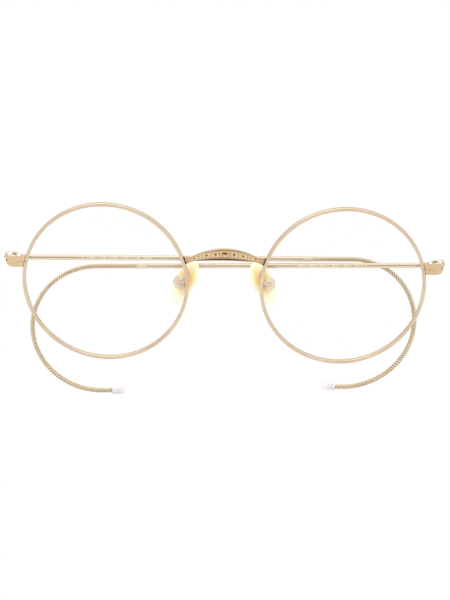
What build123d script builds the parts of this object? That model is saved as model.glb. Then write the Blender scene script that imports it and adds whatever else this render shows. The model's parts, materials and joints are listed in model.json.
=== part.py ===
from build123d import *
import os
from math import asin, cos, radians, sin, sqrt

# Round wire spectacles with cable temples, standing folded.
# Millimetres. +Z is up and the front faces -Y, so the wearer looks along -Y from behind.
# Left and right are the wearer's: left is at +X. The origin is on the nose bridge's middle
# plane, level with the lens centres and between them.
# Every paired piece is built on the left side and mirrored to the right.

# Front
EYE_SPACING = 71.0  # lens centre to lens centre: a 49 mm eye and a 22 mm bridge
RIM_RADIUS = 24.5  # centre line of the rim wire
RIM_WIDTH = 1.05  # rim wire, radially
RIM_DEPTH = 1.4  # rim wire, front to back
RIM_ROUND = 0.3
FACE_FORM = 5.0  # each lens plane turns back towards its temple, degrees
GROOVE_DEPTH = 0.42
GROOVE_HALF = 0.5
GAP = 0.05  # running and seating clearance

# Lenses: plain curved ones with a bevelled edge
LENS_CURVE = 130.0
LENS_THICKNESS = 1.3
BEVEL_HALF = 0.42
BEVEL_HEIGHT = 0.4

# Bridge: a flat arched band
BRIDGE_TOP = 12.3
BRIDGE_UNDERSIDE = 8.65
BRIDGE_FOOT_TOP = 9.3
BRIDGE_FOOT_UNDER = 7.9  # underside where the arch begins
BRIDGE_FOOT_BOTTOM = 5.45  # underside at the outline's ends, which the rims cut off
BRIDGE_FOOT_X = 9.9  # where the arch begins
BRIDGE_FRONT = -3.25  # front face at the middle
BRIDGE_FOOT_FRONT = -2.65
BRIDGE_THICKNESS = 1.1

# End pieces, closing blocks and hinges
END_Z = 5.2  # height of the end pieces' and hinges' middle
END_HALF = 1.65
END_X = 65.4
END_FRONT = 1.4
END_THICKNESS = 0.9
END_ROUND = 0.85
CORNER_BOTTOM = 2.2
CORNER_TOP = 0.7
BLOCK_X = 62.4
BLOCK_BACK = 3.25
SPLIT = 0.07  # saw cut that opens the rim
CLOSING_SCREW_X = 61.5
SCREW_R = 0.4
SCREW_HEAD_R = 0.8
SCREW_HEAD = 0.45
SLOT_WIDTH = 0.22
SLOT_DEPTH = 0.2
DIMPLE_R = 0.32

HINGE_X = 64.3
HINGE_Y = 4.2
KNUCKLE_R = 0.8
KNUCKLE_HALF = 0.6  # half height of the temple's knuckle
KNUCKLE_GAP = 0.06
LEAF = 0.2

# Temples
BAR_HEIGHT = 1.4
BAR_THICKNESS = 1.0
BAR_DROP = 0.2  # the bar leaves the hinge this far below its middle
BAR_LENGTH = 91.3
HEEL = 1.78  # bar's end beyond the hinge axis
HEEL_ROUND = 1.3
HEEL_NOSE = 0.1  # height of the heel's tip below its middle
HEEL_SLOPE = 2.1  # how far the heel's underside is cut back
BUTT_HALF = 1.6
BUTT_LENGTH = 0.9
TAPER_END = 4.0
GROOVE_START = 4.6
LINE_WIDTH = 0.24
LINE_RAISE = 0.16
LINE_DEPTH = 0.12
CABLE_R = 0.75
CORE_R = 0.36
CORE_BORE = 0.4
CORE_SOCKET = 3.0
STRAIGHT = 102.85  # hinge to the start of the ear hook
TIP_LENGTH = 3.9
TIP_R = 1.2
TIP_COVER = 2.3  # cable length inside the tip

# How each temple was adjusted: degrees short of flat when folded, degrees of droop,
# then the ear hook as tangent arcs (radius, turn) and its last straight run.
LEFT_SET = {"fold": 1.9, "droop": 2.09, "arcs": ((20.4, 181.0),), "run": 5.2}
RIGHT_SET = {"fold": 2.0, "droop": 0.0, "arcs": ((19.1, 57.0), (21.5, 128.0)), "run": 2.4}

# Nose pads and their arms
PAD_CENTRE = (11.7, 3.55, -1.2)
PAD_SPLAY = 45.0  # pad faces turn back by this much, degrees
PAD_LEAN = 26.0  # pad tops lean together by this much, degrees
PAD_HALF_WIDTH = 3.6
PAD_HALF_LENGTH = 7.4
PAD_BACK = -0.8  # along the pad's own axis, towards the nose
PAD_FACE = 1.4
PAD_ROUND = 0.95
PIVOT = -2.2
INSERT_R = 1.6
INSERT_THICKNESS = 0.35
TAB_HALF = 0.5
TAB_R = 0.65
CUP_R = 2.0
CUP_BACK = -3.4
CUP_THICKNESS = 0.45
CHEEK_OUT = 0.95
CHEEK_FRONT = -1.7
PAD_SCREW_R = 0.35
PAD_SCREW_HEAD_R = 0.6
PAD_SCREW_HEAD = 0.35
ARM_R = 0.45
ARM_HEIGHT = 4.6

RIM_INNER = RIM_RADIUS - RIM_WIDTH / 2
RIM_OUTER = RIM_RADIUS + RIM_WIDTH / 2
END_BACK = END_FRONT + END_THICKNESS
BAR_OFFSET = KNUCKLE_R + GAP + LEAF + BAR_THICKNESS / 2

TURN = radians(FACE_FORM)
SPLAY = radians(PAD_SPLAY)
LEAN = radians(PAD_LEAN)
# Lens frame: x towards the temple, y up, z out of the front
LENS_PLANE = Plane(
    origin=(EYE_SPACING / 2, 0, 0),
    x_dir=(cos(TURN), sin(TURN), 0),
    z_dir=(sin(TURN), -cos(TURN), 0),
)
# Pad frame: x towards the nose, y forwards, z along the pad
PAD_PLANE = Plane(
    origin=PAD_CENTRE,
    x_dir=(-cos(SPLAY) * cos(LEAN), sin(SPLAY), -cos(SPLAY) * sin(LEAN)),
    z_dir=(-sin(LEAN), 0, cos(LEAN)),
)
HINGE = Location((HINGE_X, HINGE_Y, END_Z))


def block(low, high):
    """Box between two corners."""
    size = [b - a for a, b in zip(low, high)]
    middle = [(a + b) / 2 for a, b in zip(low, high)]
    return Pos(*middle) * Box(*size)


def rod(radius, start, end, axis=Axis.Z):
    """Cylinder along a row axis, from one height to another."""
    turn = {Axis.X: Rotation(0, 90, 0), Axis.Y: Rotation(-90, 0, 0), Axis.Z: Rotation(0, 0, 0)}[axis]
    return turn * Pos(0, 0, (start + end) / 2) * Cylinder(radius, end - start)


def closed(points):
    """Flat face through points."""
    return make_face(Polyline(*points, close=True))


# ---------------------------------------------------------------- front


def rim():
    """Rim wire with its lens groove, sawn open at the end piece."""
    half = RIM_DEPTH / 2
    outline = Plane.XZ * closed([
        (RIM_INNER, -half),
        (RIM_OUTER, -half),
        (RIM_OUTER, half),
        (RIM_INNER, half),
        (RIM_INNER, GROOVE_HALF),
        (RIM_INNER + GROOVE_DEPTH, 0),
        (RIM_INNER, -GROOVE_HALF),
    ])
    ring = revolve(outline, Axis.Z)
    round_edges = [e for e in ring.edges() if abs(abs(e.center(CenterOf.BOUNDING_BOX).Z) - half) < 0.01]
    ring = fillet([e for e in round_edges if e.length > 2 * 3.1 * RIM_RADIUS], RIM_ROUND)
    cut = block((RIM_INNER - 1, END_Z - SPLIT / 2, -2), (RIM_OUTER + 1, END_Z + SPLIT / 2, 2))
    return LENS_PLANE * (ring - cut)


def lens():
    """Thin curved lens with a bevelled edge that sits in the rim's groove."""
    edge = RIM_INNER - GAP
    half = LENS_THICKNESS / 2
    bulge = LENS_CURVE - sqrt(LENS_CURVE**2 - edge**2)
    rise = bulge - (LENS_CURVE - sqrt(LENS_CURVE**2 - (edge / 2) ** 2))
    front = ThreePointArc((0, half + bulge), (edge / 2, half + rise), (edge, half))
    rim_side = Polyline(
        (edge, half),
        (edge, BEVEL_HALF),
        (edge + BEVEL_HEIGHT, 0),
        (edge, -BEVEL_HALF),
        (edge, -half),
    )
    back = ThreePointArc((edge, -half), (edge / 2, rise - half), (0, bulge - half))
    axis = Line((0, bulge - half), (0, half + bulge))
    outline = Plane.XZ * make_face([*front.edges(), *rim_side.edges(), *back.edges(), *axis.edges()])
    return LENS_PLANE * revolve(outline, Axis.Z)


def rim_envelope():
    """Solid disc as wide as the rim, for trimming what is soldered to it."""
    return LENS_PLANE * Cylinder(RIM_OUTER, 20)


def bridge():
    """Arched band between the rims, bowed forwards in plan."""
    foot = EYE_SPACING / 2 - RIM_RADIUS + 3
    top = ThreePointArc((-BRIDGE_FOOT_X, BRIDGE_FOOT_TOP), (0, BRIDGE_TOP), (BRIDGE_FOOT_X, BRIDGE_FOOT_TOP))
    under = ThreePointArc(
        (BRIDGE_FOOT_X, BRIDGE_FOOT_UNDER), (0, BRIDGE_UNDERSIDE), (-BRIDGE_FOOT_X, BRIDGE_FOOT_UNDER)
    )
    right_end = Polyline(
        (BRIDGE_FOOT_X, BRIDGE_FOOT_TOP),
        (foot, BRIDGE_FOOT_TOP),
        (foot, BRIDGE_FOOT_BOTTOM),
        (BRIDGE_FOOT_X, BRIDGE_FOOT_UNDER),
    )
    left_end = Polyline(
        (-BRIDGE_FOOT_X, BRIDGE_FOOT_UNDER),
        (-foot, BRIDGE_FOOT_BOTTOM),
        (-foot, BRIDGE_FOOT_TOP),
        (-BRIDGE_FOOT_X, BRIDGE_FOOT_TOP),
    )
    outline = make_face([*top.edges(), *right_end.edges(), *under.edges(), *left_end.edges()])
    arch = extrude(Plane.XZ * outline, amount=5)
    plan = make_face([
        *ThreePointArc((-foot, BRIDGE_FOOT_FRONT), (0, BRIDGE_FRONT), (foot, BRIDGE_FOOT_FRONT)).edges(),
        *Line((foot, BRIDGE_FOOT_FRONT), (foot, BRIDGE_FOOT_FRONT + BRIDGE_THICKNESS)).edges(),
        *ThreePointArc(
            (foot, BRIDGE_FOOT_FRONT + BRIDGE_THICKNESS),
            (0, BRIDGE_FRONT + BRIDGE_THICKNESS),
            (-foot, BRIDGE_FOOT_FRONT + BRIDGE_THICKNESS),
        ).edges(),
        *Line((-foot, BRIDGE_FOOT_FRONT + BRIDGE_THICKNESS), (-foot, BRIDGE_FOOT_FRONT)).edges(),
    ])
    band = arch & extrude(plan, amount=BRIDGE_TOP + 2)
    left_rim = rim_envelope()
    return band - left_rim - mirror(left_rim, Plane.YZ)


# ---------------------------------------------------------------- end piece and closing block


def screw(radius, head_radius, head, length):
    """Slotted cheese-head screw: underside of the head at the origin, shank downwards."""
    cap = Pos(0, 0, head / 2) * Cylinder(head_radius, head)
    cap = fillet(cap.edges().group_by(Axis.Z)[-1], head * 0.3)
    slot = block((-head_radius - 1, -SLOT_WIDTH / 2, head - SLOT_DEPTH), (head_radius + 1, SLOT_WIDTH / 2, head + 1))
    return cap + rod(radius, -length, 0) - slot


def end_outline():
    """Front view of the end plate."""
    plate = closed([
        (EYE_SPACING / 2 + RIM_RADIUS - 2, END_Z - END_HALF),
        (END_X, END_Z - END_HALF),
        (END_X, END_Z + END_HALF),
        (EYE_SPACING / 2 + RIM_RADIUS - 2, END_Z + END_HALF),
    ])
    corners = plate.vertices().group_by(Axis.X)[-1].sort_by(Axis.Y)
    plate = fillet(corners[0], CORNER_BOTTOM)
    return fillet(plate.vertices().group_by(Axis.X)[-1].sort_by(Axis.Y)[-1], CORNER_TOP)


def end_piece():
    """End plate with the upper closing block behind it, rounded back at its outer end."""
    plate = extrude(Plane.XZ * end_outline(), amount=-6)
    inner = EYE_SPACING / 2 + RIM_RADIUS - 2
    round_start = END_X - END_ROUND
    bend = RadiusArc((round_start, END_FRONT), (END_X, END_FRONT + END_ROUND), -END_ROUND)
    sides = Polyline(
        (END_X, END_FRONT + END_ROUND),
        (END_X, END_BACK),
        (BLOCK_X, END_BACK),
        (BLOCK_X, BLOCK_BACK),
        (inner, BLOCK_BACK),
        (inner, END_FRONT),
        (round_start, END_FRONT),
    )
    plan = extrude(make_face([*bend.edges(), *sides.edges()]), amount=20)
    lower = block((inner - 1, 0, 0), (BLOCK_X, 6, END_Z + SPLIT / 2))
    hole = Pos(CLOSING_SCREW_X, (END_FRONT + BLOCK_BACK) / 2, 0) * rod(SCREW_R + GAP, 0, 10)
    dimple = Pos(END_X - END_ROUND * 0.3, END_FRONT + END_ROUND * 0.3, END_Z + 0.45)
    dimple *= Rotation(0, 0, 45) * rod(DIMPLE_R, -0.6, 0.6, Axis.Y)
    return (plate & plan) - lower - hole - dimple - rim_envelope()


def closing_block():
    """Lower half of the closing block, soldered to the rim's lower end."""
    inner = EYE_SPACING / 2 + RIM_RADIUS - 2
    low = (inner, END_FRONT, END_Z - END_HALF)
    high = (BLOCK_X - GAP, BLOCK_BACK, END_Z - SPLIT / 2)
    hole = Pos(CLOSING_SCREW_X, (END_FRONT + BLOCK_BACK) / 2, 0) * rod(SCREW_R + GAP / 2, 0, 10)
    return block(low, high) - hole - rim_envelope()


def closing_screw():
    """Screw that closes the rim on its lens."""
    place = Pos(CLOSING_SCREW_X, (END_FRONT + BLOCK_BACK) / 2, END_Z + END_HALF)
    return place * screw(SCREW_R, SCREW_HEAD_R - 0.1, SCREW_HEAD, 2 * END_HALF)


# ---------------------------------------------------------------- hinge


def hinge_front():
    """Leaf behind the end plate, carrying the top and bottom knuckles."""
    leaf = block(
        (BLOCK_X + 0.2 - HINGE_X, END_BACK - HINGE_Y, -END_HALF + GAP),
        (END_X - 0.6 - HINGE_X, BLOCK_BACK - HINGE_Y, END_HALF - GAP),
    )
    start = KNUCKLE_HALF + KNUCKLE_GAP
    pair = []
    for side in (-1, 1):
        low, high = sorted((side * start, side * (END_HALF - GAP)))
        web = block((-KNUCKLE_R, BLOCK_BACK - HINGE_Y, low), (KNUCKLE_R, 0, high))
        pair.append(rod(KNUCKLE_R, low, high) + web)
    return HINGE * (leaf + pair[0] + pair[1] - rod(SCREW_R + GAP, -3, 3))


def hinge_screw():
    """Screw that is the hinge's pin."""
    place = HINGE * Pos(0, 0, END_HALF - GAP)
    return place * screw(SCREW_R, SCREW_HEAD_R, SCREW_HEAD, 2 * END_HALF - 2 * GAP)


def temple_knuckle():
    """The temple's knuckle and the leaf soldered to the bar's inner side, in the temple frame."""
    web = block((-0.6, 0, -KNUCKLE_HALF), (0.6, KNUCKLE_R + GAP, KNUCKLE_HALF))
    near = KNUCKLE_R + GAP
    leaf = block((-TAPER_END / 2, near, -KNUCKLE_HALF), (HEEL - 0.9, near + LEAF, KNUCKLE_HALF))
    return rod(KNUCKLE_R, -KNUCKLE_HALF, KNUCKLE_HALF) + web + leaf - rod(SCREW_R + GAP, -3, 3)


# ---------------------------------------------------------------- temple


def bar_outline():
    """Side view of the bar: a tall butt that tapers to the shaft."""
    half = BAR_HEIGHT / 2
    lift = BAR_DROP
    outline = closed([
        (HEEL - HEEL_SLOPE, lift - BUTT_HALF),
        (HEEL, lift - HEEL_NOSE),
        (HEEL, lift + BUTT_HALF),
        (-BUTT_LENGTH, lift + BUTT_HALF),
        (-TAPER_END, half),
        (-BAR_LENGTH, half),
        (-BAR_LENGTH, -half),
        (-TAPER_END, -half),
        (-BUTT_LENGTH, lift - BUTT_HALF),
    ])
    heel = outline.vertices().group_by(Axis.X)[-1].sort_by(Axis.Y)
    outline = fillet(heel[-1], HEEL_ROUND)
    soft = [v for v in outline.vertices() if abs(v.X + TAPER_END) < 0.01 or abs(v.X + BUTT_LENGTH) < 0.01]
    return fillet(soft, 0.8)


def bar():
    """Temple bar with an incised line on its inner side and a socket for the cable's core."""
    solid = extrude(Plane.XZ * bar_outline(), amount=BAR_THICKNESS / 2, both=True)
    sides = solid.faces().group_by(Axis.Y)
    solid = chamfer([*sides[0].edges(), *sides[-1].edges()], 0.18)
    line = block(
        (-BAR_LENGTH + 3, -BAR_THICKNESS, LINE_RAISE - LINE_WIDTH / 2),
        (-GROOVE_START, -BAR_THICKNESS / 2 + LINE_DEPTH, LINE_RAISE + LINE_WIDTH / 2),
    )
    socket = Pos(-BAR_LENGTH, 0, 0) * rod(CORE_BORE, -1, CORE_SOCKET, Axis.X)
    return solid - line - socket


def hook_path(start, setting):
    """Cable's centre line: straight from start, round the ear hook, then its last run."""
    route = [Line((-start, 0), (-STRAIGHT, 0))]
    for radius, turn in setting["arcs"]:
        last = route[-1]
        route.append(JernArc(start=last @ 1, tangent=last % 1, radius=radius, arc_size=turn))
    last = route[-1]
    route.append(Line(last @ 1, (last @ 1) + (last % 1) * setting["run"]))
    return Plane.XZ * Wire([e for part in route for e in part.edges()])


def along(path, section):
    """Section swept along a path from its first point."""
    return sweep(Plane(origin=path @ 0, z_dir=path % 0) * section, path=path)


def coil(setting):
    """Sheath of the wound cable."""
    return along(hook_path(BAR_LENGTH, setting), Circle(CABLE_R) - Circle(CORE_BORE))


def core(setting):
    """Spring core inside the winding, socketed in the bar."""
    return along(hook_path(BAR_LENGTH - CORE_SOCKET + GAP, setting), Circle(CORE_R))


def tip(setting):
    """Cap over the cable's end."""
    path = hook_path(BAR_LENGTH, setting)
    cap = Pos(0, 0, TIP_LENGTH / 2) * Cylinder(TIP_R, TIP_LENGTH)
    cap = fillet(cap.edges().group_by(Axis.Z)[-1], TIP_R * 0.75)
    cap = fillet(cap.edges().group_by(Axis.Z)[0], TIP_R * 0.2)
    bore = rod(CABLE_R + GAP / 2, -1, TIP_COVER)
    return Plane(origin=(path @ 1) - (path % 1) * TIP_COVER, z_dir=path % 1) * (cap - bore)


def temple(setting):
    """All pieces of one temple, folded, on the left side."""
    frame = HINGE * Rotation(0, 0, -setting["fold"])
    shaft = frame * Pos(0, BAR_OFFSET, -BAR_DROP) * Rotation(0, -setting["droop"], 0)
    return {
        "hinge_temple": frame * temple_knuckle(),
        "temple_bar": shaft * bar(),
        "cable_core": shaft * core(setting),
        "cable_coil": shaft * coil(setting),
        "temple_tip": shaft * tip(setting),
    }


# ---------------------------------------------------------------- nose pads


def nose_pad():
    """Oval pad, rounded towards the nose."""
    oval = Plane.YZ * Ellipse(PAD_HALF_WIDTH, PAD_HALF_LENGTH)
    pad = Pos(PAD_BACK, 0, 0) * extrude(oval, amount=PAD_FACE - PAD_BACK)
    pad = fillet(pad.edges().group_by(Axis.X)[-1], PAD_ROUND)
    return PAD_PLANE * fillet(pad.edges().group_by(Axis.X)[0], PAD_ROUND / 2)


def pad_insert():
    """Metal disc on the pad's back with the tab that hangs on the pad screw."""
    disc = rod(INSERT_R, PAD_BACK - INSERT_THICKNESS, PAD_BACK, Axis.X)
    tab = block((PIVOT, -TAB_HALF, -TAB_R), (PAD_BACK - INSERT_THICKNESS, TAB_HALF, TAB_R))
    eye = Pos(PIVOT, 0, 0) * rod(TAB_R, -TAB_HALF, TAB_HALF, Axis.Y)
    hole = Pos(PIVOT, 0, 0) * rod(PAD_SCREW_R + GAP, -3, 3, Axis.Y)
    return PAD_PLANE * (disc + tab + eye - hole)


def pad_box():
    """Round cup with two cheeks that hold the pad's tab, on the end of the arm."""
    cup = rod(CUP_R, CUP_BACK, CUP_BACK + CUP_THICKNESS, Axis.X)
    cup = fillet(cup.edges().group_by(Axis.X)[0], 0.15)
    inner = TAB_HALF + GAP
    for side in (-1, 1):
        low, high = sorted((side * inner, side * CHEEK_OUT))
        cup += block((CUP_BACK + CUP_THICKNESS, low, -CHEEK_OUT), (CHEEK_FRONT, high, CHEEK_OUT))
    hole = Pos(PIVOT, 0, 0) * rod(PAD_SCREW_R + GAP / 2, -3, 3, Axis.Y)
    return PAD_PLANE * (cup - hole) - pad_arm()


def pad_screw():
    """Screw that the pad rocks on."""
    place = Pos(PIVOT, CHEEK_OUT, 0) * Rotation(-90, 0, 0)
    return PAD_PLANE * place * screw(PAD_SCREW_R, PAD_SCREW_HEAD_R, PAD_SCREW_HEAD, 2 * CHEEK_OUT)


def pad_arm():
    """Bent wire from the back of the rim to the outside of the pad box."""
    nasal = -RIM_RADIUS * cos(asin(ARM_HEIGHT / RIM_RADIUS))
    root = LENS_PLANE.from_local_coords(Vector(nasal, ARM_HEIGHT, -RIM_DEPTH / 2))
    back = LENS_PLANE.from_local_coords(Vector(nasal, ARM_HEIGHT, -RIM_DEPTH / 2 - 1.7))
    knee = Vector(10.4, 0.9, 2.0)
    lie = CUP_BACK - ARM_R + 0.1
    near = PAD_PLANE.from_local_coords(Vector(lie, 2.2, 0.5))
    end = PAD_PLANE.from_local_coords(Vector(lie, 0.2, 0.2))
    path = FilletPolyline(root, back, knee, near, end, radius=[1.1, 1.6, 1.0])
    return along(path, Circle(ARM_R))


# ---------------------------------------------------------------- assembly


def other_side(shape):
    """The same piece on the right."""
    return mirror(shape, Plane.YZ)


def main():
    pieces = {"bridge": bridge()}
    paired = {
        "rim": rim(),
        "lens": lens(),
        "end_piece": end_piece(),
        "closing_block": closing_block(),
        "hinge_front": hinge_front(),
        "pad_arm": pad_arm(),
        "pad_box": pad_box(),
        "pad_insert": pad_insert(),
        "nose_pad": nose_pad(),
    }
    for name, shape in paired.items():
        pieces["left_" + name] = shape
        pieces["right_" + name] = other_side(shape)
    for name, shape in temple(LEFT_SET).items():
        pieces["left_" + name] = shape
    for name, shape in temple(RIGHT_SET).items():
        pieces["right_" + name] = other_side(shape)
    for name, shape in {
        "closing_screws": closing_screw(),
        "hinge_screws": hinge_screw(),
        "pad_screws": pad_screw(),
    }.items():
        pieces[name] = Compound([*shape.solids(), *other_side(shape).solids()])
    os.makedirs("parts", exist_ok=True)
    for name, shape in pieces.items():
        export_step(shape, "parts/" + name + ".step")


main()
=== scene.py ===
import json
from math import asin, cos, exp, pi, radians, sin, sqrt

import bpy
from mathutils import Matrix, Vector


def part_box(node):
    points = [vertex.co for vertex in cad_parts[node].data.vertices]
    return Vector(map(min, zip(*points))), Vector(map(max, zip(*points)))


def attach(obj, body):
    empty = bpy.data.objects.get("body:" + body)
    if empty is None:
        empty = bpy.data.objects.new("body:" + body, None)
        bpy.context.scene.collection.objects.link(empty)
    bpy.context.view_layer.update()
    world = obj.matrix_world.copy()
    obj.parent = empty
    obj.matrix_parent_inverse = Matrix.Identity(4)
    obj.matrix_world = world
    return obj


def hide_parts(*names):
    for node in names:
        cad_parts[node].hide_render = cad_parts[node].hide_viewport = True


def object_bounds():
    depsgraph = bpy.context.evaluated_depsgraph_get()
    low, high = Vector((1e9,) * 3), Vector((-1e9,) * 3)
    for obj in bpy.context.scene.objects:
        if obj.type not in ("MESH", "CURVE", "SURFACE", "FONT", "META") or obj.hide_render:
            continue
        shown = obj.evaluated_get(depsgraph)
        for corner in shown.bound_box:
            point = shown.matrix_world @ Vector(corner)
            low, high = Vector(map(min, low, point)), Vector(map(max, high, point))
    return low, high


# Round wire spectacles with cable temples, folded. The CAD frame gives the places; this script
# makes the visible surfaces. Sizes are in millimetres here and become metres in piece().

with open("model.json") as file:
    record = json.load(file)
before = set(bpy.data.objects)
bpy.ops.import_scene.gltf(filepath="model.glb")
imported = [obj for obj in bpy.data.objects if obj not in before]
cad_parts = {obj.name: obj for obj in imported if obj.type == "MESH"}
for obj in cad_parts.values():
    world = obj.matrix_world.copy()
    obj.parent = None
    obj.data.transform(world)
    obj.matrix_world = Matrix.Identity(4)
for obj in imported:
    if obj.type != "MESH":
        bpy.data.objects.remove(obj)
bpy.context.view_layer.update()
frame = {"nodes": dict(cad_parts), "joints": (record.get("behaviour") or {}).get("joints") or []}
MM = 0.001

# Front, as in the design
FACE_FORM = radians(5.0)
RIM_RADIUS = 24.5
RIM_HALF_WIDTH = 0.52
RIM_HALF_DEPTH = 0.7
RIM_ROUND = 0.3
RIM_STEPS = 320
SEAT_DEPTH = 0.06
SEAT_HALF = 0.5
SPLIT = 0.07
END_Z = 5.2
LENS_EDGE = 23.925
LENS_HALF = 0.62
LENS_CURVE = 130.0
LENS_SOFT = 0.05  # softening of the lens's edge
LENS_STEPS = 160

# Bridge
BRIDGE_TOP = 12.3
BRIDGE_UNDERSIDE = 8.65
FOOT_TOP = 9.3
FOOT_UNDERSIDE = 7.9
FOOT_SLOPE = 0.6
FOOT_X = 9.9
BRIDGE_END = 12.3
BRIDGE_FRONT = -3.25
FOOT_FRONT = -2.65
FRONT_REACH = 14.0  # the front face has bowed back to FOOT_FRONT this far out
FRONT_INSET = 0.06  # plain front face, behind the design's
BRIDGE_THICKNESS = 1.1

# Bridge decoration. Heights on the band go from -1 at its lower edge to 1 at its upper edge.
FIELD_LOW = -0.45
FIELD_HIGH = 0.62
FIELD_MIDDLE = 0.08
FIELD_SCALE = 0.84
FIELD_DEPTH = 0.06
CUT_DEPTH = 0.13
SEAM_DEPTH = 0.25
EDGE_START = 0.86  # the band's edges roll back from here
EDGE_ROLL = 0.2
LOWER_SHADE_START = -0.7  # painted shade line along the lower edge
LOWER_SHADE_REACH = 9.0
BEADS_LOW = -0.58
BEADS_HIGH = 0.75
BEAD_SHADE_HALF = 0.13  # half width of the painted shade behind a row of beads
BEAD_R = 0.15
BEAD_HEIGHT = 0.12
BEAD_STEP = 0.46

# Temples
BAR_HALF_HEIGHT = 0.7
BAR_HALF_THICKNESS = 0.5
BAR_DROP = 0.2
BAR_OFFSET = 1.55
BAR_LENGTH = 91.3
HEEL = 1.78
HEEL_ROUND = 1.3
HEEL_NOSE = 0.1
HEEL_SLOPE = 2.1
BUTT_HALF = 1.6
BUTT_LENGTH = 0.9
TAPER_END = 4.0
LINE_START = 4.6
LINE_END = 88.0
LINE_HALF = 0.12
LINE_DEPTH = 0.12
LINE_RAISE = 0.16
DASHES_START = 21.5
DASHES_END = 43.0
DASH_CYCLE = 3.4
DASHES = ((0.5, 1.5), (1.9, 2.15), (2.55, 2.8))  # cut stretches in each cycle
CABLE_R = 0.748
STRAND_R = 0.35
STRANDS = 3
LEAD = 2.6  # length of one full twist
STRAIGHT = 102.85
TIP_LENGTH = 3.9
TIP_R = 1.19
TIP_COVER = 2.3
TIP_ROUND = 0.2
LEFT_SET = {"side": "left", "fold": 1.9, "droop": 2.09, "arcs": ((20.4, 181.0),), "run": 5.2}
RIGHT_SET = {"side": "right", "fold": 2.0, "droop": 0.0, "arcs": ((19.1, 57.0), (21.5, 128.0)), "run": 2.4}

# Nose pads
PAD_CENTRE = Vector((11.7, 3.55, -1.2))
PAD_SPLAY = radians(45.0)
PAD_LEAN = radians(26.0)
PAD_HALF_WIDTH = 3.6
PAD_HALF_LENGTH = 7.4
PAD_BACK = -0.8
PAINTED_AMBER_HEIGHT = 1.4  # middle of the pad's painted deep colour (painted light), up from its own middle
PAINTED_AMBER_HALF_WIDTH = 3.1
PAINTED_AMBER_HALF_LENGTH = 4.0
ARM_R = 0.45
ARM_HEIGHT = 4.6
ARM_LIE = -3.75  # where the arm lies against the pad box, along the pad's x

# Materials
NOISE_LOW = 0.3  # the noise texture stays nearly all between these
NOISE_HIGH = 0.7

# Camera
CAMERA_DISTANCE = 900.0
CAMERA_ELEVATION = radians(22.0)
CAMERA_ROLL = radians(1.12)
PICTURE_HEIGHT = 179.3  # height of the object plane that the picture covers
AIM_DOWN = 4.87  # the picture's middle is this far below the lens centres
AIM_RIGHT = 0.24


# ---------------------------------------------------------------- frames and meshes


def frame_matrix(origin, x_axis, z_axis):
    """Matrix of a frame from its origin, x and z directions."""
    x = Vector(x_axis).normalized()
    z = Vector(z_axis).normalized()
    y = z.cross(x)
    m = Matrix((x, y, z)).transposed().to_4x4()
    m.translation = Vector(origin)
    return m


def lens_frame():
    """Left lens: x towards the temple, y up, z out of the front."""
    low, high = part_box("left_rim")
    middle = (low + high) / 2 / MM
    x_axis = (cos(FACE_FORM), sin(FACE_FORM), 0)
    z_axis = (sin(FACE_FORM), -cos(FACE_FORM), 0)
    return frame_matrix((middle.x, middle.y, middle.z), x_axis, z_axis)


def pad_frame():
    """Left pad: x towards the nose, y forwards, z along the pad."""
    x_axis = (-cos(PAD_SPLAY) * cos(PAD_LEAN), sin(PAD_SPLAY), -cos(PAD_SPLAY) * sin(PAD_LEAN))
    return frame_matrix(PAD_CENTRE, x_axis, (-sin(PAD_LEAN), 0, cos(PAD_LEAN)))


def temple_frame(setting):
    """Left temple: x back along the bar towards the hinge, z up; the bar runs towards -x."""
    hinge = next(j for j in frame["joints"] if j["name"] == "left_temple_hinge")
    place = Matrix.Translation(Vector(hinge["pos_m"]) / MM)
    fold = Matrix.Rotation(radians(-setting["fold"]), 4, "Z")
    offset = Matrix.Translation((0, BAR_OFFSET, -BAR_DROP))
    droop = Matrix.Rotation(radians(-setting["droop"]), 4, "Y")
    return place @ fold @ offset @ droop


def piece(name, verts, faces, place, body, node, material, side="left", painted_light_weights=None):
    """One visible piece from millimetre vertices in a local frame; side "right" mirrors it."""
    points = [place @ Vector(v) * MM for v in verts]
    if side == "right":
        points = [Vector((-p.x, p.y, p.z)) for p in points]
        faces = inside_out(faces)
    mesh = bpy.data.meshes.new(name)
    mesh.from_pydata(points, [], faces)
    mesh.polygons.foreach_set("use_smooth", [True] * len(mesh.polygons))
    # The weights go into the cut attribute: painted shade on metal, the pads' painted deep colour, and the
    # lens edge where its gloss stops.
    if painted_light_weights:
        layer = mesh.attributes.new("cut", "FLOAT", "POINT")
        layer.data.foreach_set("value", painted_light_weights)
    mesh.materials.append(material)
    mesh.update()
    obj = bpy.data.objects.new(name, mesh)
    bpy.context.scene.collection.objects.link(obj)
    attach(obj, body)
    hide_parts(node)


def loft(rings):
    """Vertices and faces through rings of points; each ring closes on itself and the ends are capped."""
    verts = [tuple(p) for ring in rings for p in ring]
    n = len(rings[0])
    faces = []
    for r in range(len(rings) - 1):
        for i in range(n):
            j = (i + 1) % n
            faces.append((r * n + i, r * n + j, (r + 1) * n + j, (r + 1) * n + i))
    faces.append(tuple(reversed(range(n))))
    faces.append(tuple(range((len(rings) - 1) * n, len(rings) * n)))
    return verts, faces


def inside_out(faces):
    """The same faces, turned over."""
    return [tuple(reversed(f)) for f in faces]


def clamp(value):
    """value, kept between 0 and 1."""
    return max(0.0, min(1.0, value))


def ring_angles(count):
    """count equal angles round a circle."""
    return [2 * pi * k / count for k in range(count)]


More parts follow.
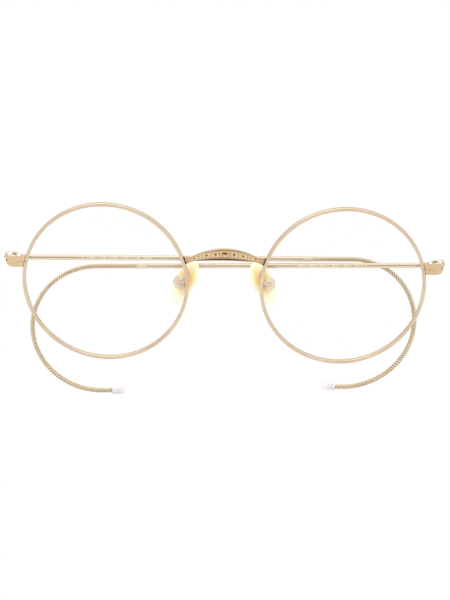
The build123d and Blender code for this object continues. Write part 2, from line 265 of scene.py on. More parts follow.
def lathe(profile, steps=96):
    """Closed surface of revolution about z from (radius, z) points that start and end on the axis."""
    verts = [(0.0, 0.0, profile[0][1])]
    for radius, height in profile[1:-1]:
        verts += [(radius * cos(a), radius * sin(a), height) for a in ring_angles(steps)]
    verts.append((0.0, 0.0, profile[-1][1]))
    faces = [(0, 1 + (k + 1) % steps, 1 + k) for k in range(steps)]
    for r in range(len(profile) - 3):
        base = 1 + r * steps
        for k in range(steps):
            j = (k + 1) % steps
            faces.append((base + k, base + j, base + steps + j, base + steps + k))
    top = len(verts) - 1
    base = 1 + (len(profile) - 3) * steps
    faces += [(base + k, base + (k + 1) % steps, top) for k in range(steps)]
    return verts, faces


def joined(parts):
    """Several (verts, faces) as one."""
    verts, faces = [], []
    for v, f in parts:
        shift = len(verts)
        verts += list(v)
        faces += [tuple(i + shift for i in face) for face in f]
    return verts, faces


def bead(centre, radius, flat, out, along):
    """Small dome: a squashed ball with out and along as its axes."""
    side = out.cross(along)
    ball = [(0.0, 1.0)] + [(sin(pi * k / 8), cos(pi * k / 8)) for k in range(1, 8)] + [(0.0, -1.0)]
    verts, faces = lathe(ball, 10)
    placed = [centre + (along * v[0] + side * v[1]) * radius + out * v[2] * flat for v in verts]
    return [tuple(p) for p in placed], faces


def smooth_path(points, steps=10):
    """Catmull-Rom curve through points."""
    padded = [points[0] * 2 - points[1], *points, points[-1] * 2 - points[-2]]
    out = []
    for i in range(1, len(padded) - 2):
        a, b, c, d = padded[i - 1 : i + 3]
        for k in range(steps):
            t = k / steps
            square = (a * 2 - b * 5 + c * 4 - d) * t * t
            cubic = (b * 3 - a - c * 3 + d) * t**3
            out.append((b * 2 + (c - a) * t + square + cubic) / 2)
    return out + [points[-1]]


def tube(path, radius, sides=16):
    """Round wire along a path, with no twist."""
    rings = []
    normal = None
    angles = ring_angles(sides)
    for i, p in enumerate(path):
        ahead = path[min(i + 1, len(path) - 1)] - path[max(i - 1, 0)]
        t = ahead.normalized()
        if normal is None:
            normal = t.orthogonal().normalized()
        normal = (normal - t * normal.dot(t)).normalized()
        side = t.cross(normal)
        rings.append([p + (normal * cos(a) + side * sin(a)) * radius for a in angles])
    return loft(rings)


# ---------------------------------------------------------------- materials


def new_material(name):
    """A material, its node tree and its shader."""
    material = bpy.data.materials.new(name)
    material.use_nodes = True
    tree = material.node_tree
    shader = tree.nodes["Principled BSDF"]
    return material, tree, shader


def noise(tree, scale, detail=3.0):
    """Noise in object space."""
    coords = tree.nodes.new("ShaderNodeTexCoord")
    texture = tree.nodes.new("ShaderNodeTexNoise")
    texture.inputs["Scale"].default_value = scale
    texture.inputs["Detail"].default_value = detail
    tree.links.new(coords.outputs["Object"], texture.inputs["Vector"])
    return texture.outputs["Fac"]


def ramp(tree, value, low, high):
    """Colour between low and high as value rises."""
    node = tree.nodes.new("ShaderNodeValToRGB")
    node.color_ramp.elements[0].position = NOISE_LOW
    node.color_ramp.elements[0].color = (*low, 1)
    node.color_ramp.elements[1].position = NOISE_HIGH
    node.color_ramp.elements[1].color = (*high, 1)
    tree.links.new(value, node.inputs["Fac"])
    return node.outputs["Color"]


def ranged(tree, value, low, high):
    """Number between low and high as value rises."""
    node = tree.nodes.new("ShaderNodeMapRange")
    node.inputs["From Min"].default_value = NOISE_LOW
    node.inputs["From Max"].default_value = NOISE_HIGH
    node.inputs["To Min"].default_value = low
    node.inputs["To Max"].default_value = high
    tree.links.new(value, node.inputs["Value"])
    return node.outputs["Result"]


def metal(name, pale, deep, rough, grain, bump, painted_dark=None, metallic=1.0):
    """Plated metal: slow colour drift, fine grain in roughness and height, and painted shade in its cuts
    and crevices.
    """
    material, tree, shader = new_material(name)
    shader.inputs["Metallic"].default_value = metallic
    colour = ramp(tree, noise(tree, 120.0), deep, pale)
    fine = noise(tree, grain, 4.0)
    # Painted shade: the colour darkens in cuts and crevices by the mesh's painted-light weight.
    if painted_dark:
        colour = with_painted_light(tree, colour, painted_dark)
    tree.links.new(colour, shader.inputs["Base Color"])
    tree.links.new(ranged(tree, fine, rough[0], rough[1]), shader.inputs["Roughness"])
    relief = tree.nodes.new("ShaderNodeBump")
    relief.inputs["Strength"].default_value = bump
    relief.inputs["Distance"].default_value = 0.00003
    tree.links.new(fine, relief.inputs["Height"])
    tree.links.new(relief.outputs["Normal"], shader.inputs["Normal"])
    return material


def painted_light_weight(tree):
    """The mesh's painted-light weight, 0 to 1, read from its cut attribute."""
    painted_weight = tree.nodes.new("ShaderNodeAttribute")
    painted_weight.attribute_name = "cut"
    return painted_weight.outputs["Fac"]


def with_painted_light(tree, plain, painted_dark):
    """Colour that goes from plain to a painted colour with the painted-light weight: painted shade on
    metal, a painted deep amber on the pads.
    """
    mix = tree.nodes.new("ShaderNodeMix")
    mix.data_type = "RGBA"
    factor, first, second, result = mix.inputs[0], mix.inputs[6], mix.inputs[7], mix.outputs[2]
    second.default_value = (*painted_dark, 1)
    tree.links.new(painted_light_weight(tree), factor)
    tree.links.new(plain, first)
    return result


def amber():
    """Translucent amber pad with a slight cloud inside; its deep colour, deepest in the upper middle, is
    painted light standing in for light gathering in the amber.
    """
    material, tree, shader = new_material("pad_amber")
    colour = ramp(tree, noise(tree, 150.0), (1.0, 0.94, 0.74), (1.0, 0.96, 0.80))
    # Painted light: the deep amber, weighted by the pad's painted-light weight.
    tree.links.new(with_painted_light(tree, colour, (1.0, 0.60, 0.15)), shader.inputs["Base Color"])
    tree.links.new(ranged(tree, noise(tree, 900.0), 0.28, 0.4), shader.inputs["Roughness"])
    shader.inputs["IOR"].default_value = 1.4
    shader.inputs["Subsurface Weight"].default_value = 1.0
    shader.inputs["Subsurface Radius"].default_value = (1.0, 0.7, 0.3)
    shader.inputs["Subsurface Scale"].default_value = 0.0015
    return material


def milky():
    """Milky clear end tip."""
    material, tree, shader = new_material("tip_clear")
    colour = ramp(tree, noise(tree, 500.0), (0.93, 0.87, 0.89), (0.98, 0.93, 0.94))
    tree.links.new(colour, shader.inputs["Base Color"])
    tree.links.new(ranged(tree, noise(tree, 1500.0), 0.10, 0.22), shader.inputs["Roughness"])
    shader.inputs["Transmission Weight"].default_value = 0.3
    shader.inputs["IOR"].default_value = 1.46
    return material


def clear_lens():
    """Thin clear plastic: light goes straight through, with a faint gloss that stops at the edge."""
    material, tree, shader = new_material("lens_clear")
    through = tree.nodes.new("ShaderNodeBsdfTransparent")
    through.inputs["Color"].default_value = (0.999, 0.999, 0.999, 1)
    gloss = tree.nodes.new("ShaderNodeBsdfGlossy")
    tree.links.new(ranged(tree, noise(tree, 60.0), 0.02, 0.05), gloss.inputs["Roughness"])
    gloss.inputs["Color"].default_value = (0.9, 0.92, 0.95, 1)
    slant = tree.nodes.new("ShaderNodeLayerWeight")
    slant.inputs["Blend"].default_value = 0.06
    open_face = tree.nodes.new("ShaderNodeMath")
    open_face.operation = "SUBTRACT"
    open_face.inputs[0].default_value = 1.0
    tree.links.new(painted_light_weight(tree), open_face.inputs[1])
    gloss_share = tree.nodes.new("ShaderNodeMath")
    gloss_share.operation = "MULTIPLY"
    tree.links.new(slant.outputs["Facing"], gloss_share.inputs[0])
    tree.links.new(open_face.outputs["Value"], gloss_share.inputs[1])
    mix = tree.nodes.new("ShaderNodeMixShader")
    tree.links.new(gloss_share.outputs["Value"], mix.inputs["Fac"])
    tree.links.new(through.outputs["BSDF"], mix.inputs[1])
    tree.links.new(gloss.outputs["BSDF"], mix.inputs[2])
    tree.links.new(mix.outputs["Shader"], tree.nodes["Material Output"].inputs["Surface"])
    tree.nodes.remove(shader)
    return material


# Painted shade: dark colours painted into cuts, crevices and edges, where shade falls
GOLD_PAINTED_SHADE = (0.22, 0.14, 0.07)
WIRE_PAINTED_SHADE = (0.22, 0.13, 0.06)
CABLE_PAINTED_SHADE = (0.22, 0.16, 0.09)
BAND_PAINTED_SHADE = (0.10, 0.05, 0.02)

GOLD = metal("gold_plate", (0.72, 0.62, 0.48), (0.67, 0.57, 0.43), (0.26, 0.36), 900.0, 0.08, GOLD_PAINTED_SHADE)
BAND = metal("gold_band", (0.70, 0.52, 0.33), (0.63, 0.45, 0.27), (0.24, 0.34), 900.0, 0.08, BAND_PAINTED_SHADE)
WIRE = metal("gold_wire", (0.67, 0.54, 0.40), (0.60, 0.47, 0.33), (0.26, 0.36), 900.0, 0.08, WIRE_PAINTED_SHADE)
SATIN = metal("gold_matte", (0.69, 0.52, 0.32), (0.64, 0.47, 0.28), (0.42, 0.55), 1600.0, 0.2)
PALE = metal("hinge_metal", (0.92, 0.86, 0.76), (0.86, 0.79, 0.68), (0.2, 0.32), 1200.0, 0.1)
CUP = metal("cup_gold", (0.76, 0.66, 0.50), (0.71, 0.60, 0.44), (0.4, 0.55), 1200.0, 0.1, metallic=0.2)
CABLE = metal("cable_gold", (0.70, 0.58, 0.42), (0.64, 0.52, 0.36), (0.26, 0.4), 1500.0, 0.1, CABLE_PAINTED_SHADE)
STEEL = metal("screw_steel", (0.93, 0.93, 0.94), (0.86, 0.86, 0.87), (0.18, 0.28), 1500.0, 0.1)
SPRING = metal("spring_wire", (0.6, 0.58, 0.55), (0.45, 0.43, 0.4), (0.3, 0.4), 1500.0, 0.1)
AMBER = amber()
MILKY = milky()
CLEAR = clear_lens()


# ---------------------------------------------------------------- front pieces


def rim_profile():
    """Section of the rim wire: rounded edges and a shallow seat that the lens fills."""
    inner = RIM_RADIUS - RIM_HALF_WIDTH
    outer = RIM_RADIUS + RIM_HALF_WIDTH
    soft = RIM_ROUND
    centres = [(outer - soft, RIM_HALF_DEPTH - soft), (inner + soft, RIM_HALF_DEPTH - soft)]
    centres += [(inner + soft, soft - RIM_HALF_DEPTH), (outer - soft, soft - RIM_HALF_DEPTH)]
    points = []
    for quarter, (cx, cz) in enumerate(centres):
        for step in range(0, 91, 15):
            a = radians(90 * quarter + step)
            points.append((cx + soft * cos(a), cz + soft * sin(a)))
        if quarter == 1:
            points += [(inner, SEAT_HALF / 2), (inner + SEAT_DEPTH, 0), (inner, -SEAT_HALF / 2)]
    return points


def make_rims():
    """Rim rings, open at the saw cut in the end piece."""
    start = asin((END_Z + SPLIT / 2) / RIM_RADIUS)
    stop = asin((END_Z - SPLIT / 2) / RIM_RADIUS) + 2 * pi
    section = rim_profile()
    rings = []
    for k in range(RIM_STEPS + 1):
        a = start + (stop - start) * k / RIM_STEPS
        rings.append([(r * cos(a), r * sin(a), z) for r, z in section])
    verts, faces = loft(rings)
    faces = inside_out(faces)
    painted_light_weights = [0.0] * len(verts)
    for side in ("left", "right"):
        piece(side + "_rim_wire", verts, faces, lens_frame(), "front", side + "_rim", WIRE, side, painted_light_weights)


def sag(radius):
    """How far the lens has fallen back from its middle at this radius."""
    return LENS_CURVE - sqrt(LENS_CURVE**2 - radius * radius)


def make_lenses():
    """Curved lenses with softened edges."""
    bulge = sag(LENS_EDGE)
    radii = [LENS_EDGE * k / 16 for k in range(17)]
    back = [(r, bulge - LENS_HALF - sag(r)) for r in radii]
    front = [(r, bulge + LENS_HALF - sag(r)) for r in reversed(radii)]
    rim = LENS_EDGE + 0.04
    edge = [(rim, LENS_SOFT - LENS_HALF), (rim, LENS_HALF - LENS_SOFT)]
    profile = back + edge + front
    verts, faces = lathe(profile, LENS_STEPS)
    painted_light_weights = [0.0]
    for radius, _ in profile[1:-1]:
        painted_light_weights += [1.0 if radius > LENS_EDGE - 0.01 else 0.0] * LENS_STEPS
    painted_light_weights.append(0.0)
    for side in ("left", "right"):
        piece(side + "_lens_disc", verts, faces, lens_frame(), "front", side + "_lens", CLEAR, side, painted_light_weights)


def arch(x, foot, middle):
    """Height at x of an arc that rises from the feet to the middle."""
    rise = middle - foot
    radius = (FOOT_X**2 + rise**2) / (2 * rise)
    return middle - radius + sqrt(radius**2 - x * x)


def bridge_edges(x):
    """Heights of the band's lower and upper edges at x."""
    if abs(x) < FOOT_X:
        return arch(x, FOOT_UNDERSIDE, BRIDGE_UNDERSIDE), arch(x, FOOT_TOP, BRIDGE_TOP)
    return FOOT_UNDERSIDE - FOOT_SLOPE * (abs(x) - FOOT_X), FOOT_TOP


def bridge_front(x):
    """How far forward the bridge's front face is at x."""
    bow = FOOT_FRONT - BRIDGE_FRONT
    radius = (FRONT_REACH**2 + bow**2) / (2 * bow)
    return BRIDGE_FRONT + radius - sqrt(radius**2 - x * x)


def leaf(s, t, centre, half_s, half_t, height=0.0):
    """1 inside a pointed leaf, 0 outside."""
    along_leaf = abs(s - centre) / half_s
    if along_leaf >= 1:
        return 0.0
    return clamp((half_t * (1 - along_leaf**2) - abs(t - height)) / 0.1)


def tick(s, t, centre, half_s, half_t):
    """1 inside a short upright bar, 0 outside."""
    return clamp(min((half_s - abs(s - centre)) / 0.05, (half_t - abs(t)) / 0.1))


def engraving(x, t):
    """Depth of the bridge's pattern, 0 to 1: leaves between upright bars and pricked dots."""
    s = abs(x)
    depth = leaf(s, t, 0.0, 1.15, 0.26, 0.14)
    depth = max(depth, 0.6 * leaf(s, t, 0.75, 0.3, 0.2, -0.3))
    for centre in (1.6, 7.7, 10.3):
        depth = max(depth, leaf(s, t, centre, 0.2, 0.22, 0.1), 0.7 * leaf(s, t, centre, 0.16, 0.18, -0.36))
    for centre, half in ((2.75, 0.5), (5.45, 0.45), (9.1, 0.45), (11.2, 0.4)):
        depth = max(depth, leaf(s, t, centre, half, 0.22), 0.5 * leaf(s, t, centre, half * 0.4, 0.5))
    for centre in (4.1, 6.8):
        depth = max(depth, 0.8 * tick(s, t, centre, 0.08, 0.5))
    return depth


def rim_seam(x, z, lens_x):
    """1 along the joint where the band meets a rim, 0 elsewhere; it sets the joint's depth and its painted
    shade.
    """
    gap = sqrt(((abs(x) - lens_x) / cos(FACE_FORM)) ** 2 + z * z) - RIM_RADIUS - RIM_HALF_WIDTH
    return clamp((0.34 - gap) / 0.1)


def band_point(x, t, lens_x):
    """The front face at x and height t on the band: how far back it is, its z, and its painted shade
    weight.
    """
    under, top = bridge_edges(x)
    z = (top + under) / 2 + (top - under) / 2 * t
    edge = max(0.0, (abs(t) - EDGE_START) / (1 - EDGE_START))
    field = FIELD_LOW < t < FIELD_HIGH
    cut = engraving(x, (t - FIELD_MIDDLE) / FIELD_SCALE) if field else 0.0
    seam = rim_seam(x, z, lens_x)
    depth = EDGE_ROLL * edge * edge + FIELD_DEPTH * field + CUT_DEPTH * cut + SEAM_DEPTH * seam
    # Painted shade: a dark band behind each row of beads.
    bead_painted_shade = 0.75 if min(abs(t - BEADS_LOW), abs(t - BEADS_HIGH)) < BEAD_SHADE_HALF else 0.0
    # Painted shade: a dark line along the band's lower edge.
    lower_painted_shade = clamp((LOWER_SHADE_START - t) / 0.04) * max(0.0, 1 - (x / LOWER_SHADE_REACH) ** 4)
    # Painted shade: the top edge is darkened to dull its bright reflection.
    shoulder = 0.3 if t > EDGE_START else 0.0
    # The painted shade weight: the cut pattern, the rim seam, the bead rows and both edges are darkened in
    # colour.
    return depth, z, max(cut, bead_painted_shade, seam, lower_painted_shade, shoulder)


def bead_rows():
    """Two rows of small beads that follow the band's edges."""
    beads = []
    x = 0.6 - FOOT_X
    while x < FOOT_X - 0.5:
        under, top = bridge_edges(x)
        slope = (bridge_edges(x + 0.05)[1] - top) / 0.05
        for t in (BEADS_LOW, BEADS_HIGH):
            z = (top + under) / 2 + (top - under) / 2 * t
            at = Vector((x, bridge_front(x) + FRONT_INSET + 0.01, z))
            beads.append(bead(at, BEAD_R, BEAD_HEIGHT, Vector((0, -1, 0)), Vector((1, 0, 0))))
        x += BEAD_STEP / sqrt(1 + slope * slope)
    return beads


def make_bridge():
    """Arched band with a cut pattern between two rows of small beads."""
    stations, across = 480, 40
    back_face = ((0.97, -0.3), (0.8, -0.06), (0.4, 0.0), (-0.4, 0.0), (-0.8, -0.06), (-0.97, -0.3))
    lens_x = lens_frame().translation.x
    rings, painted_light_weights = [], []
    for k in range(stations + 1):
        x = -BRIDGE_END + 2 * BRIDGE_END * k / stations
        under, top = bridge_edges(x)
        front = bridge_front(x) + FRONT_INSET
        back = bridge_front(x) + BRIDGE_THICKNESS
        ring = []
        for i in range(across + 1):
            depth, z, cut = band_point(x, -1 + 2 * i / across, lens_x)
            ring.append((x, front + depth, z))
            # cut here is the painted shade weight from band_point.
            painted_light_weights.append(cut)
        for t, dy in back_face:
            ring.append((x, back + dy, (top + under) / 2 + (top - under) / 2 * t))
            painted_light_weights.append(0.0)
        rings.append(ring)
    verts, faces = loft(rings)
    verts, faces = joined([(verts, inside_out(faces)), *bead_rows()])
    painted_light_weights += [0.0] * (len(verts) - len(painted_light_weights))
    piece("engraved_bridge", verts, faces, Matrix.Identity(4), "front", "bridge", BAND, painted_light_weights=painted_light_weights)


# ---------------------------------------------------------------- temples


def dash_depth(u):
    """Depth of the incised line at u: whole, but broken into dashes and dots along one stretch."""
    if u < LINE_START or u > LINE_END:
        return 0.0
    if not DASHES_START < u < DASHES_END:
        return 1.0
    phase = (u - DASHES_START) % DASH_CYCLE
    return 1.0 if any(start < phase < end for start, end in DASHES) else 0.0


def bar_edges(u):
    """Heights of the bar's lower and upper edges at u from the hinge."""
    if u > TAPER_END:
        return -BAR_HALF_HEIGHT, BAR_HALF_HEIGHT
    if u > BUTT_LENGTH:
        t = (TAPER_END - u) / (TAPER_END - BUTT_LENGTH)
        t = t * t * (3 - 2 * t)
        spread = BAR_HALF_HEIGHT + (BUTT_HALF - BAR_HALF_HEIGHT) * t
        return BAR_DROP * t - spread, BAR_DROP * t + spread
    lower, upper = BAR_DROP - BUTT_HALF, BAR_DROP + BUTT_HALF
    into = HEEL_ROUND - HEEL - u
    if into > 0:
        upper += sqrt(max(0.0, HEEL_ROUND**2 - into**2)) - HEEL_ROUND
    cut_back = HEEL_SLOPE - HEEL - u
    if cut_back > 0:
        lower += (BUTT_HALF - HEEL_NOSE) * cut_back / HEEL_SLOPE
    return lower, upper


def bar_section(u):
    """Section of the bar at u as (y, z) points, and how much painted shade each has in the incised line."""
    lower, upper = bar_edges(u)
    middle, half = (lower + upper) / 2, (upper - lower) / 2
    soft = min(0.24, half * 0.6)
    depth = LINE_DEPTH * dash_depth(u)
    y = BAR_HALF_THICKNESS
    centres = [(y - soft, half - soft), (soft - y, half - soft)]
    centres += [(soft - y, soft - half), (y - soft, soft - half)]
    # Painted shade in the incised line.
    painted_dark = 0.6 if depth else 0.0
    raised = LINE_RAISE * min(1.0, half)
    points = []
    for quarter, (cy, cz) in enumerate(centres):
        for step in range(0, 91, 18):
            a = radians(90 * quarter + step)
            points.append((cy + soft * cos(a), middle + cz + soft * sin(a), 0.0))
        if quarter == 1:
            line = ((1.6, 0.0, 0.0), (1.0, painted_dark, 0.0), (0.5, painted_dark, depth))
            points += [(into - y, raised + LINE_HALF * share, painted_weight) for share, painted_weight, into in line]
            points += [(into - y, raised - LINE_HALF * share, painted_weight) for share, painted_weight, into in reversed(line)]
    return points


def bar_stations():
    """Places along the bar, closer together where its shape changes."""
    places = []
    u = 0.02 - HEEL
    while u < BAR_LENGTH:
        places.append(u)
        if u < BUTT_LENGTH or DASHES_START - 1 < u < DASHES_END + 1:
            u += 0.08
        elif u < TAPER_END:
            u += 0.15
        else:
            u += 0.6 if abs(u - LINE_START) > 1 and abs(u - LINE_END) > 1 else 0.1
    return places + [BAR_LENGTH]


def make_bar(setting):
    """Flat bar with its heel, its taper and its incised line."""
    rings, painted_light_weights = [], []
    for u in bar_stations():
        section = bar_section(u)
        rings.append([(-u, y, z) for y, z, _ in section])
        painted_light_weights += [c for _, _, c in section]
    verts, faces = loft(rings)
    side = setting["side"]
    place, body = temple_frame(setting), side + "_temple"
    piece(side + "_bar", verts, faces, place, body, side + "_temple_bar", GOLD, side, painted_light_weights)


def advance(x, z, heading, radius, length):
    """Where a leg of this length ends; radius 0 means straight."""
    if not radius:
        return x + length * cos(heading), z + length * sin(heading), heading
    a = heading + length / radius
    return x + radius * (sin(a) - sin(heading)), z - radius * (cos(a) - cos(heading)), a


def cable_route(setting, step):
    """Points and in-plane headings along the cable, from the bar's end to its tip, in the temple frame."""
    overlap = 0.15
    x, z, heading = -BAR_LENGTH + overlap, 0.0, pi
    legs = [(0.0, STRAIGHT - BAR_LENGTH + overlap)]
    legs += [(radius, radius * radians(turn)) for radius, turn in setting["arcs"]]
    legs.append((0.0, setting["run"]))
    route = []
    for radius, length in legs:
        count = max(2, round(length / step))
        route += [advance(x, z, heading, radius, length * k / count) for k in range(count)]
        x, z, heading = advance(x, z, heading, radius, length)
    route.append((x, z, heading))
    return route


def cable_spots(setting):
    """Along the cable: each point, the way ahead, the way up in plane, and the length so far."""
    route = cable_route(setting, LEAD / 22)
    spots = []
    travelled = 0.0
    last_x, last_z, _ = route[0]
    for x, z, a in route:
        travelled += sqrt((x - last_x) ** 2 + (z - last_z) ** 2)
        last_x, last_z = x, z
        ahead = Vector((cos(a), 0, sin(a)))
        up = Vector((-sin(a), 0, cos(a)))
        spots.append((Vector((x, 0, z)), ahead, up, travelled))
    return spots


def make_cable(setting):
    """Strands wound round the cable's line as one rope, with painted shade where they lie against each
    other.
    """
    centre_r = CABLE_R - STRAND_R
    spots = cable_spots(setting)
    strands, painted_light_weights = [], []
    lay = 2 * pi * centre_r / LEAD
    across = Vector((0, 1, 0))
    angles = ring_angles(12)
    # Painted shade between the strands, by angle round each strand.
    shade = [max(0.0, min(0.9, (0.75 - cos(a)) / 0.9)) for a in angles]
    for n in range(STRANDS):
        rings = []
        for at, ahead, up, travelled in spots:
            turn = 2 * pi * (travelled / LEAD + n / STRANDS)
            out = up * cos(turn) + across * sin(turn)
            round_way = across * cos(turn) - up * sin(turn)
            beside = (ahead + round_way * lay).normalized().cross(out)
            middle = at + out * centre_r
            rings.append([middle + (out * cos(a) + beside * sin(a) * 0.96) * STRAND_R for a in angles])
            painted_light_weights += shade
        strands.append(loft(rings))
    verts, faces = joined(strands)
    side = setting["side"]
    place, body = temple_frame(setting), side + "_temple"
    piece(side + "_winding", verts, faces, place, body, side + "_cable_coil", CABLE, side, painted_light_weights)


def quarter_turn(centre_r, centre_z, radius, start, stop, step):
    """Points of an arc in a lathe's profile, from start to stop degrees."""
    turns = [radians(a) for a in range(start, stop, step)]
    return [(centre_r + radius * cos(a), centre_z + radius * sin(a)) for a in turns]


def make_tip(setting):
    """Rounded cap over the end of the cable."""
    x, z, heading = cable_route(setting, 0.5)[-1]
    ahead = Vector((cos(heading), 0, sin(heading)))
    bore = CABLE_R + 0.02
    shoulder = TIP_R - TIP_ROUND
    dome = TIP_R * 0.85
    profile = [(0.0, TIP_COVER), (bore, TIP_COVER), (bore, 0.1), (bore + 0.1, 0.0), (shoulder, 0.0)]
    profile += quarter_turn(shoulder, TIP_ROUND, TIP_ROUND, -75, 1, 15)
    profile += quarter_turn(TIP_R - dome, TIP_LENGTH - dome, dome, 0, 90, 9)
    profile.append((0.0, TIP_LENGTH))
    verts, faces = lathe(profile, 48)
    start = Vector((x, 0, z)) - ahead * TIP_COVER
    place = temple_frame(setting) @ frame_matrix(start, (0, 1, 0), ahead)
    side = setting["side"]
    piece(side + "_end_cap", verts, faces, place, side + "_temple", side + "_temple_tip", MILKY, side)


# ---------------------------------------------------------------- nose pads


def painted_amber_light(y, z):
    """How strongly the pad's painted deep colour shows, 0 to 1: painted light, standing in for light
    gathering in the amber.
    """
    return exp(-((y / PAINTED_AMBER_HALF_WIDTH) ** 2) - ((z - PAINTED_AMBER_HEIGHT) / PAINTED_AMBER_HALF_LENGTH) ** 2)


def make_pads():
    """Oval pads: flat back, rounded rim and a crown towards the nose."""
    section = [(share, PAD_BACK) for share in (0.12, 0.3, 0.5, 0.68)]
    section += [(0.82, -0.77), (0.93, -0.68), (0.985, -0.45), (1.0, -0.1), (0.985, 0.3)]
    section += [(0.93, 0.68), (0.82, 0.97), (0.66, 1.18), (0.45, 1.32), (0.22, 1.385)]
    rings, painted_light_weights = [], []
    for share, x in section:
        ring = []
        for a in ring_angles(72):
            y, z = -PAD_HALF_WIDTH * share * cos(a), PAD_HALF_LENGTH * share * sin(a)
            ring.append((x, y, z))
            # Painted light: the weight of the pad's deep amber patch.
            painted_light_weights.append(painted_amber_light(y, z))
        rings.append(ring)
    verts, faces = loft(rings)
    for side in ("left", "right"):
        node = side + "_nose_pad"
        piece(side + "_soft_pad", verts, faces, pad_frame(), node, node, AMBER, side, painted_light_weights)


def make_arms():
    """Bent wire from the back of each rim to its pad box."""
    place = pad_frame()
    lens = lens_frame()
    nasal = -RIM_RADIUS * cos(asin(ARM_HEIGHT / RIM_RADIUS))
    points = [
        lens @ Vector((nasal, ARM_HEIGHT, 0.1 - RIM_HALF_DEPTH)),
        lens @ Vector((nasal, ARM_HEIGHT, -0.8 - RIM_HALF_DEPTH)),
        Vector((11.22, 0.12, 4.2)),
        Vector((10.85, 0.6, 3.3)),
        Vector((10.6, 0.72, 2.2)),
        Vector((11.0, 0.42, 1.35)),
        Vector((11.9, -0.25, 0.35)),
        place @ Vector((ARM_LIE, 1.75, 0.42)),
        place @ Vector((ARM_LIE, 1.0, 0.3)),
        place @ Vector((ARM_LIE, 0.2, 0.2)),
    ]
    verts, faces = tube(smooth_path(points, 8), ARM_R)
    for side in ("left", "right"):
        piece(side + "_arm_wire", verts, faces, Matrix.Identity(4), "front", side + "_pad_arm", WIRE, side)


# ---------------------------------------------------------------- carried-over nodes


def finish_nodes():
    """Materials for the CAD nodes that stay."""
    finishes = {
        "end_piece": SATIN,
        "closing_block": SATIN,
        "hinge_front": PALE,
        "hinge_temple": PALE,
        "pad_box": CUP,
        "pad_insert": PALE,
        "screws": STEEL,
        "cable_core": SPRING,
    }
    for name, obj in frame["nodes"].items():
        for ending, material in finishes.items():
            if name.endswith(ending):
                obj.data.materials.clear()
                obj.data.materials.append(material)


# ---------------------------------------------------------------- stage


def make_stage():
    """White floor under the lowest point, bright to the eye and calmer as a reflection."""
    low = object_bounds()[0].z - 0.001
    half = 3.0
    corners = [(-half, -half, low), (half, -half, low), (half, half, low), (-half, half, low)]
    mesh = bpy.data.meshes.new("floor")
    mesh.from_pydata(corners, [], [(0, 1, 2, 3)])
    floor = bpy.data.objects.new("floor", mesh)
    material, tree, shader = new_material("floor_white")
    shader.inputs["Base Color"].default_value = (0.78, 0.78, 0.78, 1)
    shader.inputs["Roughness"].default_value = 0.9
    glow = tree.nodes.new("ShaderNodeEmission")
    seen = tree.nodes.new("ShaderNodeLightPath")
    mix = tree.nodes.new("ShaderNodeMixShader")
    tree.links.new(seen.outputs["Is Camera Ray"], mix.inputs["Fac"])
    tree.links.new(shader.outputs["BSDF"], mix.inputs[1])
    tree.links.new(glow.outputs["Emission"], mix.inputs[2])
    tree.links.new(mix.outputs["Shader"], tree.nodes["Material Output"].inputs["Surface"])
    mesh.materials.append(material)
    bpy.context.scene.collection.objects.link(floor)


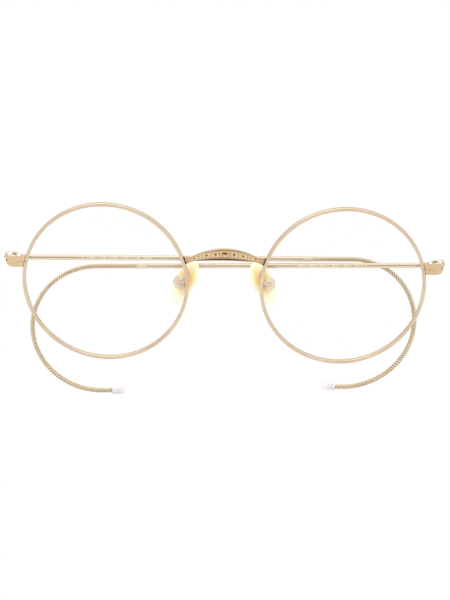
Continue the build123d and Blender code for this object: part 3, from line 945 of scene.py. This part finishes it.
def make_world():
    """White studio all round, brighter overhead and a little darker low down, so that metal has form."""
    world = bpy.data.worlds.new("studio")
    bpy.context.scene.world = world
    world.use_nodes = True
    tree = world.node_tree
    background = tree.nodes["Background"]
    coords = tree.nodes.new("ShaderNodeTexCoord")
    split = tree.nodes.new("ShaderNodeSeparateXYZ")
    tree.links.new(coords.outputs["Generated"], split.inputs["Vector"])
    shade = tree.nodes.new("ShaderNodeValToRGB")
    levels = ((0.0, 0.8), (0.5, 0.78), (0.58, 0.86), (0.7, 1.0), (0.85, 1.35), (1.0, 1.6))
    shade.color_ramp.elements[0].color = (levels[0][1],) * 3 + (1,)
    shade.color_ramp.elements[1].color = (levels[-1][1],) * 3 + (1,)
    for position, value in levels[1:-1]:
        shade.color_ramp.elements.new(position).color = (value, value, value, 1)
    lift = tree.nodes.new("ShaderNodeMapRange")
    lift.inputs["From Min"].default_value = -1.0
    tree.links.new(split.outputs["Z"], lift.inputs["Value"])
    tree.links.new(lift.outputs["Result"], shade.inputs["Fac"])
    tree.links.new(shade.outputs["Color"], background.inputs["Color"])
    seen = tree.nodes.new("ShaderNodeLightPath")
    white = tree.nodes.new("ShaderNodeBackground")
    white.inputs["Color"].default_value = (1, 1, 1, 1)
    mix = tree.nodes.new("ShaderNodeMixShader")
    tree.links.new(seen.outputs["Is Camera Ray"], mix.inputs["Fac"])
    tree.links.new(background.outputs["Background"], mix.inputs[1])
    tree.links.new(white.outputs["Background"], mix.inputs[2])
    tree.links.new(mix.outputs["Shader"], tree.nodes["World Output"].inputs["Surface"])


def make_lights():
    """A large soft box overhead and a smaller one to the side."""
    key = ("key", (-0.25, -0.2, 0.9), 0.8, 2.4)
    fill = ("fill", (0.7, -0.6, 0.35), 0.6, 0.7)
    for name, place, size, power in (key, fill):
        data = bpy.data.lights.new(name, "AREA")
        data.shape = "SQUARE"
        data.size = size
        data.energy = power
        light = bpy.data.objects.new(name, data)
        light.location = place
        light.rotation_mode = "QUATERNION"
        light.rotation_quaternion = Vector(place).to_track_quat("Z", "Y")
        bpy.context.scene.collection.objects.link(light)


def make_camera():
    """Camera a little above the front, with the slight roll that the picture has."""
    data = bpy.data.cameras.new("camera")
    data.sensor_width = 36.0
    data.lens = data.sensor_width * CAMERA_DISTANCE / PICTURE_HEIGHT
    camera = bpy.data.objects.new("camera", data)
    back = Vector((0, -cos(CAMERA_ELEVATION), sin(CAMERA_ELEVATION)))
    level = Vector((1, 0, 0))
    upright = back.cross(level)
    right = level * cos(CAMERA_ROLL) + upright * sin(CAMERA_ROLL)
    up = back.cross(right)
    aim = right * AIM_RIGHT - up * AIM_DOWN
    matrix = Matrix((right, up, back)).transposed().to_4x4()
    matrix.translation = (aim + back * CAMERA_DISTANCE) * MM
    camera.matrix_world = matrix
    data.clip_start = 0.05
    data.clip_end = 20.0
    bpy.context.scene.collection.objects.link(camera)
    bpy.context.scene.camera = camera


make_rims()
make_lenses()
make_bridge()
for temple in (LEFT_SET, RIGHT_SET):
    make_bar(temple)
    make_cable(temple)
    make_tip(temple)
make_pads()
make_arms()
finish_nodes()
make_stage()
make_world()
make_lights()
make_camera()
bpy.context.scene.view_settings.view_transform = "Standard"
